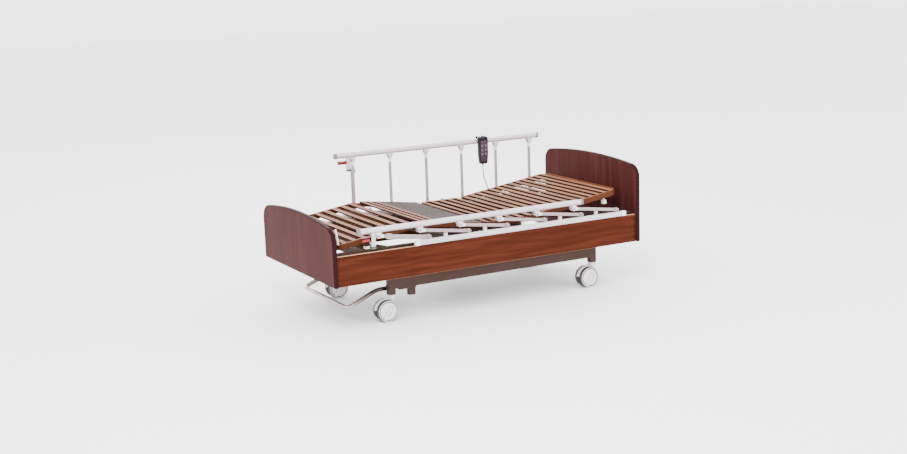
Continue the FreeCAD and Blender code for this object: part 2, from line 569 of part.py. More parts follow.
def mattress_stops():
    """Two upright pegs at the foot corners that keep the mattress from sliding."""
    x, z0 = -CALF_LENGTH + 9, HINGE_Z + MEMBER_HIGH / 2 + SLAT_THICK
    pegs = []
    for side in (-1, 1):
        top = V(x, side * STOP_Y, HINGE_Z + STOP_TOP - STOP_R)
        pegs.append(join([rod((x, side * STOP_Y, z0), tuple(top), STOP_R), Part.makeSphere(STOP_R, top)]))
    return placed_at_knee(Part.makeCompound(pegs))


# ---- section drive -----------------------------------------------------------------
def twin_drive():
    """Twin section drive under the seat: one long case with a motor at each end."""
    case = box(8, 258, -70, 70, 396, 448)
    case = case.makeFillet(8, case.Edges)
    motors = [rod((x, -55, 388), (x, 55, 388), 26) for x in (80.0, 186.0)]
    straps = [box(x0, x0 + 24, -40, 40, 446, RAIL_TOP) for x0 in (27.0, 203.0)]
    drive = join([case] + motors + straps)
    for x in (BACK_SHAFT_X, KNEE_SHAFT_X):
        drive = drive.cut(ycyl(x, DRIVE_SHAFT_Z, DRIVE_SHAFT_R + 0.5, -80, 80))
    return drive


def drive_lever(x, direction, rise):
    """Lever shaft of the twin drive with two arms whose rollers push a section up."""
    parts = [ycyl(x, DRIVE_SHAFT_Z, DRIVE_SHAFT_R, -206, 206)]
    a = math.radians(rise)
    tx, tz = x + direction * DRIVE_ARM * math.cos(a), DRIVE_SHAFT_Z + DRIVE_ARM * math.sin(a)
    for side in (-1, 1):
        y = side * DRIVE_ARM_Y
        parts.append(strap(x, DRIVE_SHAFT_Z, tx, tz, DRIVE_ARM_WIDE, y - 4, y + 4))
        parts.append(ycyl(tx, tz, DRIVE_ROLLER_R, y - 9, y + 9))
    return join(parts)


def lever_rise(tilt):
    """Angle of a drive arm whose roller just clears the glide strip at a section's tilt."""
    a = math.radians(tilt)
    back, drop = 50.0, HINGE_Z - DRIVE_SHAFT_Z
    gap = MEMBER_HIGH / 2 + DRIVE_ROLLER_R + 0.5
    return tilt + math.degrees(math.asin((drop * math.cos(a) - back * math.sin(a) - gap) / DRIVE_ARM))


def lever_rest(tilt, limit):
    """Rest angle of a drive arm that turns at a constant ratio and never meets the strip."""
    low, high = lever_rise(0.0), lever_rise(limit)
    ratio = (high - low) / limit
    print(f"drive arm: rest {low + ratio * tilt:.3f}, ratio {ratio:.5f}")
    return low + ratio * tilt


def control_box():
    """Control unit under the seat, with the inlet and the handset's gland."""
    case = box(20, 180, 225, 335, 400, 446)
    case = case.makeFillet(6, case.Edges)
    gland = rod((100, 300, 402), (100, 300, 392), 7)
    inlet = box(6, 22, 245, 275, 410, 434)
    strap_up = box(22, 46, 230, 330, 444, RAIL_TOP)
    return join([case, gland, inlet, strap_up])


# ---- side rails --------------------------------------------------------------------
def post_turn(side):
    """How far the rail stands folded at rest: the near one is down, the far one is up."""
    return -(90 - FOLDED_ANGLE) if side < 0 else 0.0


def post_top(side, i):
    """Upper pivot of one post at rest."""
    x = POST_FIRST_X + POST_PITCH * i
    angle = FOLDED_ANGLE if side < 0 else 90.0
    return on_circle(x, POST_PIVOT_Z, POST_LENGTH, angle)


def base_rail(side):
    """Lower bar of the side rail with a lug and a pivot pin for every post."""
    y = side * POST_Y
    bar = box(BASE_RAIL_X0, BASE_RAIL_X1, y - 11, y + 11, BASE_RAIL_Z0, BASE_RAIL_Z1)
    bar = bar.makeFillet(5, [e for e in bar.Edges if e.Length > 100])
    bar = bar.cut(box(BASE_RAIL_X0, BASE_RAIL_X1, y - 8.5, y + 8.5, BASE_RAIL_Z0 + 2.5, BASE_RAIL_Z1 - 2.5))
    parts = [bar]
    for i in range(POST_COUNT):
        x = POST_FIRST_X + POST_PITCH * i
        lug = box(x - 10, x + 10, side * LUG_IN, side * LUG_OUT, BASE_RAIL_Z1 - 14, POST_PIVOT_Z)
        parts += [lug, ycyl(x, POST_PIVOT_Z, 10, side * LUG_IN, side * LUG_OUT)]
        parts.append(ycyl(x, POST_PIVOT_Z, POST_PIN_R, side * LUG_IN, side * (POST_Y + 10)))
        if i:
            bx = x - BUFFER_BACK
            parts.append(box(bx - 9, bx + 9, y - 7, y + 7, BASE_RAIL_Z1 - 2, BUFFER_TOP))
    return join(parts)


def post(side, i):
    """One post, drawn upright and turned to its rest angle."""
    x, y, z = POST_FIRST_X + POST_PITCH * i, side * POST_Y, POST_PIVOT_Z
    top = z + POST_LENGTH
    around = box(x - 14, x + 14, y - 10.5, y + 10.5, z - 14, z + 14)
    body = join([
        pipe((x, y, z), (x, y, top), POST_R, 1.5),
        ycyl(x, z, 11, y - 10.5, y + 10.5),
        ycyl(x, top, 10, y - 10.5, y + 10.5),
        Part.makeSphere(POST_BALL_R, V(x, y, z)).common(around),
    ])
    if i == 0:
        sleeve = box(x - 15, x + 13, y - 11, y + 11, top - 80, top - 52)
        latch = rod((x - 13, y, z + 26), (x - 13, y, top - 60), 3)
        foot = box(x - 16, x, y - 5, y + 5, z + 22, z + 34)
        body = join([body, sleeve, latch, foot])
    bores = [ycyl(x, z, POST_PIN_R + RUN_FIT, y - 12, y + 12)]
    upper_bore = POST_PIN_R + (RUN_FIT if i == 0 else 0.6)
    bores.append(ycyl(x, top, upper_bore, y - 12, y + 12))
    for bore in bores:
        body = body.cut(bore)
    return turned(body, x, z, post_turn(side))


def top_rail(side):
    """Oval top tube with end caps, a forked bracket and pin for every post and the latch bracket."""
    y = side * POST_Y
    first_x, pivot_z = post_top(side, 0)
    z = pivot_z + TOP_RAIL_RISE
    x0 = first_x - TOP_RAIL_FOOT
    x1 = first_x + POST_PITCH * (POST_COUNT - 1) + TOP_RAIL_HEAD
    flat = (TOP_RAIL_HIGH - TOP_RAIL_WIDE) / 2
    r = TOP_RAIL_WIDE / 2
    tube = join([rod((x0, y, z - flat), (x1, y, z - flat), r), rod((x0, y, z + flat), (x1, y, z + flat), r),
                 box(x0, x1, y - r, y + r, z - flat, z + flat)])
    bore = join([rod((x0 + 3, y, z - flat), (x1 - 3, y, z - flat), r - 2),
                 rod((x0 + 3, y, z + flat), (x1 - 3, y, z + flat), r - 2),
                 box(x0 + 3, x1 - 3, y - r + 2, y + r - 2, z - flat, z + flat)])
    tube = tube.cut(bore)
    parts = [tube]
    for i in range(POST_COUNT):
        px, pz = post_top(side, i)
        parts.append(box(px - 17, px + 17, side * LUG_IN, side * CHEEK_OUT, z - 22, z - 12))
        for y0, y1 in ((side * LUG_IN, side * LUG_OUT), (side * CHEEK_IN, side * CHEEK_OUT)):
            outline = [(px - 17, z - 13), (px + 17, z - 13), (px + 12, pz - 2), (px - 12, pz - 2)]
            cheek = plate_y(outline, y0, y1)
            parts += [cheek, ycyl(px, pz, 12, y0, y1)]
        parts.append(ycyl(px, pz, POST_PIN_R, side * LUG_IN, side * CHEEK_OUT))
    bracket_x = first_x - 27
    parts.append(box(bracket_x - 14, bracket_x + 10, y - 8, y + 8, pivot_z - 67, z - 10))
    rail = join(parts)
    handle_z = pivot_z - 12
    return rail.cut(rod((bracket_x - 20, y, handle_z), (bracket_x + 20, y, handle_z), 4 + RUN_FIT))


def release_handle(side):
    """Red pull grip whose pin passes through the latch bracket."""
    y = side * POST_Y
    first_x, pivot_z = post_top(side, 0)
    bracket_x, z = first_x - 27, pivot_z - 12
    grip = box(first_x - 98, bracket_x - 14.6, y - 9, y + 9, z - 11, z + 11)
    grip = grip.makeFillet(6, [e for e in grip.Edges if e.Length > 40])
    return join([grip, rod((bracket_x - 30, y, z), (bracket_x + 10, y, z), 4)])


# ---- handset -----------------------------------------------------------------------
def handset():
    """Hand control hooked over the far top rail, with a recess for every button."""
    x0, x1 = HANDSET_X - HANDSET_WIDE / 2, HANDSET_X + HANDSET_WIDE / 2
    y0, y1 = HANDSET_Y - HANDSET_DEEP / 2, HANDSET_Y + HANDSET_DEEP / 2
    case = box(x0, x1, y0, y1, HANDSET_Z0, HANDSET_Z1)
    upright = [e for e in case.Edges if abs(e.BoundBox.YLength - HANDSET_DEEP) < 0.01]
    case = case.makeFillet(14, upright)
    case = case.makeFillet(5, [e for e in case.Edges if abs(e.CenterOfMass.y - y0) < 0.01])
    tube_top = post_top(1, 0)[1] + TOP_RAIL_RISE + TOP_RAIL_HIGH / 2
    parts = [case]
    for side in (-1, 1):
        hx = HANDSET_X + side * 20
        parts.append(box(hx - 7, hx + 7, y1 - 8, 508, tube_top + 0.6, HOOK_TOP))
        parts.append(box(hx - 7, hx + 7, 503.6, 508, tube_top - 18, HOOK_TOP))
        parts.append(box(hx - 7, hx + 7, y1 - 8, y1, HANDSET_Z1 - 20, HOOK_TOP))
    cord_x = CORD_POINTS[0][0]
    parts.append(rod((cord_x, HANDSET_Y, HANDSET_Z0 + 4), (cord_x, HANDSET_Y, HANDSET_Z0 - 8), 5.5))
    body = join(parts)
    for bx, bz in button_places():
        body = body.cut(ycyl(bx, bz, BUTTON_R + 0.3, y0 - 1, y0 + 6))
        body = body.cut(ycyl(bx, bz, 3.05, y0 + 5, y0 + 15))
    return body


def button_places():
    """Centres of the six buttons, two columns of three."""
    middle = HANDSET_Z0 + 92
    return [(HANDSET_X + sx * BUTTON_STEP_X / 2, middle + row * BUTTON_STEP_Z)
            for row in (-1, 0, 1) for sx in (-1, 1)]


def button(x, z):
    """Round key with a guide stem."""
    y0 = HANDSET_Y - HANDSET_DEEP / 2
    cap = ycyl(x, z, BUTTON_R, y0 - 2.0, y0 + 3.5)
    cap = cap.makeFillet(1.2, [e for e in cap.Edges if e.Closed and abs(e.CenterOfMass.y - (y0 - 2.0)) < 0.01])
    return join([cap, ycyl(x, z, 3, y0 + 3, y0 + 12)])


def handset_cord():
    """Handset's cord, with arcs as large as its runs allow."""
    tube, length, radii = bent_bar(CORD_POINTS, CORD_R, lambda before, after: 0.45 * min(before, after))
    print("cord radii", radii)
    print(f"cord length {length:.0f}, volume {tube.Volume:.0f} against {math.pi * CORD_R ** 2 * length:.0f}")
    return tube


# ---- every node --------------------------------------------------------------------
def main():
    x_end = BED_LENGTH / 2
    save("footboard", board(-x_end, FOOT_TOP, FOOT_SHOULDER, FOOT_CORNER))
    save("headboard", board(x_end - BOARD_THICK, HEAD_TOP, HEAD_SHOULDER, HEAD_CORNER))
    save("chassis_frame", chassis())
    save("brake_pedal", brake_pedal())
    for end, x in LEG_XS.items():
        for side_name, side in SIDES.items():
            save(f"caster_fork_{end}_{side_name}", caster_fork(x, side * LEG_Y))
            save(f"caster_wheels_{end}_{side_name}", caster_wheels(x, side * LEG_Y))
    save("lift_arm_main", lift_arm(ARM_MAIN_X, True, 13))
    save("lift_arm_second", lift_arm(ARM_SECOND_X, False, 13))
    save("lift_actuator", lift_actuator())
    save("lift_actuator_rod", lift_actuator_rod())
    save("upper_frame", upper_frame())
    save("seat_frame", seat_frame())
    save("seat_slats", Part.makeCompound([slat(x) for x in (8, 68, 128, 188, 246)]))
    save("back_frame", back_frame())
    save("back_slats", back_slats())
    save("back_pads", back_pads())
    save("thigh_frame", thigh_frame())
    save("thigh_slats", thigh_slats())
    save("mesh_panel", mesh_panel())
    save("calf_frame", calf_frame())
    save("calf_slats", calf_slats())
    save("mattress_stops", mattress_stops())
    save("twin_drive", twin_drive())
    save("back_lever", drive_lever(BACK_SHAFT_X, 1, lever_rest(BACK_REST, BACK_LIMIT)))
    save("knee_lever", drive_lever(KNEE_SHAFT_X, -1, lever_rest(THIGH_REST, THIGH_LIMIT)))
    save("control_box", control_box())
    for side_name, side in SIDES.items():
        save(f"side_panel_{side_name}", side_panel(side))
        save(f"base_rail_{side_name}", base_rail(side))
        save(f"top_rail_{side_name}", top_rail(side))
        save(f"release_handle_{side_name}", release_handle(side))
        for i in range(POST_COUNT):
            save(f"post_{side_name}_{i + 1}", post(side, i))
    save("handset", handset())
    for i, (x, z) in enumerate(button_places()):
        save(f"handset_button_{i + 1}", button(x, z))
    save("handset_cord", handset_cord())


main()
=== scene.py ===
import json
import math

import bmesh
import bpy
from mathutils import Matrix, Vector


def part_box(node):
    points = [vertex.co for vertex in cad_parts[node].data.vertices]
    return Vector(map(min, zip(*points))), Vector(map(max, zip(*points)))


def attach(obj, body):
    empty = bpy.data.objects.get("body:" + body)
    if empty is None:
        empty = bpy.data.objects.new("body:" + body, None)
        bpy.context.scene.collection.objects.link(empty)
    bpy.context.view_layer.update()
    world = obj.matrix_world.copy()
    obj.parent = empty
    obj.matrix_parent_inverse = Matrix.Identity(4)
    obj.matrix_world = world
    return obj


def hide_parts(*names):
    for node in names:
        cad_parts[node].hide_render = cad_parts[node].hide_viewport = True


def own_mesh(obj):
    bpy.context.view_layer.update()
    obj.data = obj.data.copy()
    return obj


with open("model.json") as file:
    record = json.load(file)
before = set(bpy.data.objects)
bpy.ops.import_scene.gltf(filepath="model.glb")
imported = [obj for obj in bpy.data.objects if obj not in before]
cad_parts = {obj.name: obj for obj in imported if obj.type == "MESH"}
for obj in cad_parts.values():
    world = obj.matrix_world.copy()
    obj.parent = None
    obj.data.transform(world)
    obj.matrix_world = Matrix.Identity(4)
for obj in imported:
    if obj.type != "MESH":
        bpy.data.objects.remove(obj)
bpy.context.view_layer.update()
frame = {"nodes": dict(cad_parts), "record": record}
NODES = frame["nodes"]
SIDES = {"near": -1, "far": 1}
MM = 0.001


# ---- camera ------------------------------------------------------------------------
def make_camera():
    """Low three-quarter view from the foot end of the near side, with a slight roll."""
    place = Vector((-3.8615, -7.0792, 2.0155))
    aim = Vector((0.0080, 0.0104, 0.4073))
    roll = math.radians(-1.92)
    ahead = (aim - place).normalized()
    right = ahead.cross(Vector((0, 0, 1))).normalized()
    up = right.cross(ahead)
    right, up = (math.cos(roll) * right + math.sin(roll) * up,
                 math.cos(roll) * up - math.sin(roll) * right)
    data = bpy.data.cameras.new("camera")
    data.sensor_width = 36.0
    data.lens = 53.9
    camera = bpy.data.objects.new("camera", data)
    turn = Matrix((right, up, -ahead)).transposed().to_4x4()
    camera.matrix_world = Matrix.Translation(place) @ turn
    bpy.context.scene.collection.objects.link(camera)
    bpy.context.scene.camera = camera


# ---- places that several pieces share ----------------------------------------------
RAIL_Y = 0.491
POST_COUNT, POST_PITCH, FIRST_POST_X = 6, 0.256, -0.424
POST_FOOT_Z, POST_LENGTH = 0.488, 0.318
FOLDED_DEG = 7.65
BASE_RAIL_Z = 0.4593


# ---- mesh helpers ------------------------------------------------------------------
def link(obj, body=None):
    """Put an object in the scene, riding on a body if one is named."""
    bpy.context.scene.collection.objects.link(obj)
    if body:
        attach(obj, body)
    return obj


def mesh_object(name, bm, body=None, material=None, smooth=True):
    """An object from a bmesh, with its faces pointing outwards."""
    bmesh.ops.recalc_face_normals(bm, faces=bm.faces)
    mesh = bpy.data.meshes.new(name)
    bm.to_mesh(mesh)
    bm.free()
    for polygon in mesh.polygons:
        polygon.use_smooth = smooth
    obj = bpy.data.objects.new(name, mesh)
    if material:
        mesh.materials.append(material)
    return link(obj, body)


def apply_modifiers(obj):
    """Bake an object's modifiers into its mesh."""
    graph = bpy.context.evaluated_depsgraph_get()
    baked = bpy.data.meshes.new_from_object(obj.evaluated_get(graph))
    obj.modifiers.clear()
    obj.data = baked
    return obj


def bevelled(obj, width, segments=3, angle=35):
    """Round an object's sharp edges and keep its flats flat."""
    bevel = obj.modifiers.new("bevel", "BEVEL")
    bevel.width = width
    bevel.segments = segments
    bevel.limit_method = "ANGLE"
    bevel.angle_limit = math.radians(angle)
    bevel.use_clamp_overlap = True
    bevel.harden_normals = False
    normals = obj.modifiers.new("normals", "WEIGHTED_NORMAL")
    normals.keep_sharp = True
    return apply_modifiers(obj)


def softened(node, width, material, segments=2):
    """A copy of a CAD node with its hard edges rounded, standing for that node."""
    source = NODES[node]
    bm = bmesh.new()
    bm.from_mesh(source.data)
    bmesh.ops.remove_doubles(bm, verts=bm.verts, dist=0.00002)
    bmesh.ops.dissolve_limit(bm, angle_limit=math.radians(1.0), verts=bm.verts, edges=bm.edges)
    piece = mesh_object(node + "_body", bm, frame_body(node), material)
    bevelled(piece, width, segments)
    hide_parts(node)
    return piece


def frame_body(node):
    """The body that a CAD node rides on."""
    for body, members in frame["record"]["behaviour"]["bodies"].items():
        if node in members:
            return body
    return None


def add_box(bm, centre, size):
    """A box in a bmesh."""
    matrix = Matrix.Translation(Vector(centre)) @ Matrix.Diagonal((*size, 1))
    bmesh.ops.create_cube(bm, size=1.0, matrix=matrix)


def add_dome(bm, centre, radius, axis, height=0.6, steps=12):
    """A flattened ball facing along an axis, such as a rivet head."""
    turn = Vector((0, 0, 1)).rotation_difference(Vector(axis)).to_matrix().to_4x4()
    matrix = Matrix.Translation(Vector(centre)) @ turn @ Matrix.Diagonal((radius, radius, radius * height, 1))
    bmesh.ops.create_uvsphere(bm, u_segments=steps, v_segments=8, radius=1.0, matrix=matrix)


def add_lathe(bm, profile, centre, axis, steps=72):
    """Revolve (radius, offset) pairs about an axis; ends on the axis close by themselves."""
    turn = Vector((0, 0, 1)).rotation_difference(Vector(axis)).to_matrix()
    rings = []
    for radius, offset in profile:
        count = 1 if radius < 1e-6 else steps
        ring = []
        for k in range(count):
            a = 2 * math.pi * k / steps
            point = Vector((radius * math.cos(a), radius * math.sin(a), offset))
            ring.append(bm.verts.new(Vector(centre) + turn @ point))
        rings.append(ring)
    for low, high in zip(rings[:-1], rings[1:]):
        for k in range(steps):
            corners = [low[k % len(low)], low[(k + 1) % len(low)]]
            corners += [high[(k + 1) % len(high)], high[k % len(high)]]
            distinct = list(dict.fromkeys(corners))
            if len(distinct) > 2:
                bm.faces.new(distinct)


def skin(bm, rings):
    """Side faces between rings of points, and a flat face at each end."""
    for low, high in zip(rings[:-1], rings[1:]):
        for k in range(len(low)):
            bm.faces.new([low[k], low[(k + 1) % len(low)], high[(k + 1) % len(low)], high[k]])
    bm.faces.new(rings[-1])
    bm.faces.new(list(reversed(rings[0])))


def add_tube(bm, points, radius, sides):
    """A round tube through points, with flat ends."""
    points = [Vector(p) for p in points]
    last = len(points) - 1
    rings, across = [], None
    for i, point in enumerate(points):
        ahead = (points[min(i + 1, last)] - points[max(i - 1, 0)]).normalized()
        if across is None:
            across = ahead.orthogonal().normalized()
        across = (across - ahead * across.dot(ahead)).normalized()
        other = ahead.cross(across)
        ring = []
        for k in range(sides):
            a = 2 * math.pi * k / sides
            ring.append(bm.verts.new(point + radius * (math.cos(a) * across + math.sin(a) * other)))
        rings.append(ring)
    skin(bm, rings)


# ---- materials ---------------------------------------------------------------------
class Shader:
    """A principled material with short calls for the textures that feed it."""

    def __init__(self, name, roughness=0.5, metallic=0.0, coat=0.0, coat_roughness=0.1, specular=0.5):
        self.material = bpy.data.materials.new(name)
        self.material.use_nodes = True
        self.nodes = self.material.node_tree.nodes
        self.links = self.material.node_tree.links
        self.out = self.nodes["Principled BSDF"]
        for socket, value in (("Roughness", roughness), ("Metallic", metallic), ("Coat Weight", coat),
                              ("Coat Roughness", coat_roughness), ("Specular IOR Level", specular)):
            self.out.inputs[socket].default_value = value
        self.coordinates = self.nodes.new("ShaderNodeTexCoord")
        self.normal = None

    def place(self, scale=(1, 1, 1), turn=(0, 0, 0)):
        """Object coordinates, scaled and turned."""
        node = self.nodes.new("ShaderNodeMapping")
        node.inputs["Scale"].default_value = scale
        node.inputs["Rotation"].default_value = turn
        self.links.new(self.coordinates.outputs["Object"], node.inputs["Vector"])
        return node.outputs["Vector"]

    def noise(self, scale, detail=4.0, roughness=0.55, distortion=0.0, stretch=(1, 1, 1), turn=(0, 0, 0)):
        """Noise value over the object."""
        node = self.nodes.new("ShaderNodeTexNoise")
        node.inputs["Scale"].default_value = scale
        node.inputs["Detail"].default_value = detail
        node.inputs["Roughness"].default_value = roughness
        node.inputs["Distortion"].default_value = distortion
        self.links.new(self.place(stretch, turn), node.inputs["Vector"])
        return node.outputs["Fac"]

    def waves(self, scale, distortion, stretch):
        """Waves in bands up the object, for figure in wood."""
        node = self.nodes.new("ShaderNodeTexWave")
        node.bands_direction = "Z"
        node.inputs["Scale"].default_value = scale
        node.inputs["Distortion"].default_value = distortion
        node.inputs["Detail"].default_value = 3.0
        node.inputs["Detail Scale"].default_value = 1.4
        self.links.new(self.place(stretch), node.inputs["Vector"])
        return node.outputs["Fac"]

    def spread(self, value, low, high, start=0.3, end=0.7):
        """Map a value's range onto another range."""
        node = self.nodes.new("ShaderNodeMapRange")
        node.inputs["From Min"].default_value = start
        node.inputs["From Max"].default_value = end
        node.inputs["To Min"].default_value = low
        node.inputs["To Max"].default_value = high
        self.links.new(value, node.inputs["Value"])
        return node.outputs["Result"]

    def ramp(self, value, stops):
        """Colours along a value, from (place, colour) pairs."""
        node = self.nodes.new("ShaderNodeValToRGB")
        elements = node.color_ramp.elements
        while len(elements) < len(stops):
            elements.new(0.5)
        for element, (at, colour) in zip(elements, stops):
            element.position = at
            element.color = (*colour, 1.0)
        self.links.new(value, node.inputs["Fac"])
        return node.outputs["Color"]

    def mix(self, first, second, share, blend="MIX"):
        """Mix two colours; each is a socket or a plain colour, and so is the share."""
        node = self.nodes.new("ShaderNodeMix")
        node.data_type = "RGBA"
        node.blend_type = blend
        for index, value in ((0, share), (6, first), (7, second)):
            if isinstance(value, (int, float)):
                node.inputs[index].default_value = value
            elif isinstance(value, tuple):
                node.inputs[index].default_value = (*value, 1.0)
            else:
                self.links.new(value, node.inputs[index])
        return node.outputs[2]

    def normal_part(self, axis):
        """One part of the surface's direction, from -1 to 1."""
        split = self.nodes.new("ShaderNodeSeparateXYZ")
        self.links.new(self.coordinates.outputs["Normal"], split.inputs["Vector"])
        return split.outputs[axis]

    def facing(self, axis, low, high):
        """1 where the surface faces along an axis of the object, either way, 0 where it doesn't."""
        size = self.nodes.new("ShaderNodeMath")
        size.operation = "ABSOLUTE"
        self.links.new(self.normal_part(axis), size.inputs[0])
        return self.spread(size.outputs[0], 0.0, 1.0, low, high)

    def along(self, axis, low, high):
        """0 to 1 along an axis of the object, between two places in metres."""
        split = self.nodes.new("ShaderNodeSeparateXYZ")
        self.links.new(self.coordinates.outputs["Object"], split.inputs["Vector"])
        return self.spread(split.outputs[axis], 0.0, 1.0, low, high)

    def bump(self, height, strength, distance=0.001):
        """Add a bump under the ones already made."""
        node = self.nodes.new("ShaderNodeBump")
        node.inputs["Strength"].default_value = strength
        node.inputs["Distance"].default_value = distance
        self.links.new(height, node.inputs["Height"])
        if self.normal:
            self.links.new(self.normal, node.inputs["Normal"])
        self.normal = node.outputs["Normal"]
        self.links.new(self.normal, self.out.inputs["Normal"])

    def set(self, **sockets):
        """Link values to the shader's sockets, such as Base_Color=..."""
        for name, value in sockets.items():
            self.links.new(value, self.out.inputs[name.replace("_", " ")])
        return self.material


def stretched(axis, along, across=1.0):
    """A mapping scale that is small along one axis."""
    return tuple(along if letter == axis else across for letter in "XYZ")


def veneer(name, tones, axis, roughness, edge, edge_axis, figure=0.5, arches=0.0):
    """Lacquered veneer: long grain, slow figure, arched figure if asked, fine pores, a banded edge."""
    shader = Shader(name, roughness, specular=0.02)
    grain = shader.noise(38.0, 6.0, 0.62, 0.6, stretched(axis, 0.06))
    slow = shader.noise(5.0, 3.0, 0.5, 1.2, stretched(axis, 0.22))
    fine = shader.noise(420.0, 3.0, 0.6, 0.0, stretched(axis, 0.02))
    colour = shader.ramp(grain, [(0.30, tones[0]), (0.50, tones[1]), (0.72, tones[2])])
    colour = shader.mix(colour, tones[0], shader.spread(slow, 0.0, figure, 0.42, 0.66))
    if arches:
        figured = shader.waves(7.0, 9.0, stretched(axis, 0.16))
        colour = shader.mix(colour, tones[0], shader.spread(figured, 0.0, arches, 0.25, 0.9))
    pore = tuple(0.6 * c for c in tones[0])
    colour = shader.mix(colour, pore, shader.spread(fine, 0.0, 0.40, 0.55, 0.72))
    colour = shader.mix(edge, colour, shader.facing(edge_axis, 0.72, 0.93))
    shader.bump(fine, 0.12, 0.0004)
    shader.bump(slow, 0.06, 0.002)
    return shader.set(Base_Color=colour, Roughness=shader.spread(grain, roughness - 0.06, roughness + 0.08))


def beech(name, light, dark, side, axis="Y", step=22.0):
    """Sealed beech: flecks along the grain, a different tone on each slat and painted shade on the sides."""
    shader = Shader(name, 0.50, specular=0.05)
    grain = shader.noise(60.0, 5.0, 0.6, 0.4, stretched(axis, 0.05))
    across = (0.9, 0.02, 0.0) if axis == "Y" else (0.02, 0.9, 0.0)
    tone = shader.noise(step, 1.0, 0.5, 0.0, across)
    fleck = shader.noise(300.0, 2.0, 0.5, 0.0, stretched(axis, 0.10))
    colour = shader.ramp(grain, [(0.32, dark), (0.66, light)])
    deeper = tuple(0.55 * c for c in dark)
    colour = shader.mix(colour, deeper, shader.spread(tone, 0.0, 0.55, 0.38, 0.64))
    colour = shader.mix(colour, deeper, shader.spread(fleck, 0.0, 0.35, 0.56, 0.75))
    # Faces that don't face up take the side colour: painted shade on the sides of slats and members.
    colour = shader.mix(side, colour, shader.facing("Z", 0.55, 0.90))
    shader.bump(grain, 0.14, 0.0006)
    shader.bump(fleck, 0.10, 0.0003)
    return shader.set(Base_Color=colour, Roughness=shader.spread(grain, 0.38, 0.54))


def paint(name, colour, roughness=0.35, metallic=0.0, shade=0.82, peel=0.05, coat=0.0, under=None,
          specular=0.5):
    """Powder coat or moulded plastic: mottling, wear, a fine peel, and painted shade on the underside if
    asked.
    """
    shader = Shader(name, roughness, metallic, coat=coat, specular=specular)
    cloud = shader.noise(9.0, 4.0, 0.6, 0.5)
    speck = shader.noise(900.0, 2.0, 0.5)
    worn = shader.noise(38.0, 6.0, 0.7, 0.8)
    darker = tuple(shade * c for c in colour)
    base = shader.mix(colour, darker, shader.spread(cloud, 0.0, 0.8, 0.40, 0.66))
    base = shader.mix(base, darker, shader.spread(worn, 0.0, 0.35, 0.60, 0.75))
    # The under colour is painted shade, blended in as the surface turns to face down.
    if under:
        base = shader.mix(base, under, shader.spread(shader.normal_part("Z"), 1.0, 0.0, -0.75, 0.10))
    shader.bump(speck, peel, 0.0003)
    return shader.set(Base_Color=base, Roughness=shader.spread(worn, roughness - 0.05, roughness + 0.12))


def plated(name, colour, dark_reflection_colour, roughness, span, axis="X"):
    """Drawn, plated steel with fine lines along the bar, and a painted dark reflection towards one end."""
    shader = Shader(name, roughness, 1.0)
    lines = shader.noise(260.0, 4.0, 0.6, 0.0, stretched(axis, 0.03))
    cloud = shader.noise(14.0, 3.0, 0.5)
    # Painted reflection: the colour darkens along X over the span, for the dark surroundings the plating
    # would mirror.
    base = shader.mix(colour, dark_reflection_colour, shader.along("X", *span))
    base = shader.mix(base, (0.10, 0.07, 0.06), shader.spread(cloud, 0.0, 0.45, 0.45, 0.68))
    shader.bump(lines, 0.06, 0.0003)
    return shader.set(Base_Color=base, Roughness=shader.spread(lines, roughness - 0.06, roughness + 0.10))


make_camera()
PANEL_EDGE, BOARD_EDGE = (0.42, 0.24, 0.15), (0.016, 0.005, 0.006)
BOARD_TONES = [(0.024, 0.0050, 0.0042), (0.046, 0.0108, 0.0092), (0.066, 0.0175, 0.0150)]
PANEL_TONES = [(0.033, 0.0068, 0.0032), (0.057, 0.0130, 0.0062), (0.086, 0.0220, 0.0105)]
MATERIALS = {
    "board_wood": veneer("board_wood", BOARD_TONES, "Z", 0.42, BOARD_EDGE, "X"),
    "panel_wood": veneer("panel_wood", PANEL_TONES, "X", 0.46, PANEL_EDGE, "Y", 0.40, 0.45),
    # The fourth colour of each beech is painted shade for the sides that don't face up.
    "frame_wood": beech("frame_wood", (0.19, 0.060, 0.022), (0.115, 0.034, 0.012),
                        (0.070, 0.021, 0.009), "X", 3.0),
    "slat_wood": beech("slat_wood", (0.27, 0.112, 0.056), (0.155, 0.058, 0.028),
                       (0.012, 0.004, 0.0025)),
    # The pedal's second colour is a painted dark reflection along the arms.
    "pedal_steel": plated("pedal_steel", (0.44, 0.37, 0.36), (0.060, 0.048, 0.046), 0.22,
                          (-0.85, -0.70), "Y"),
}
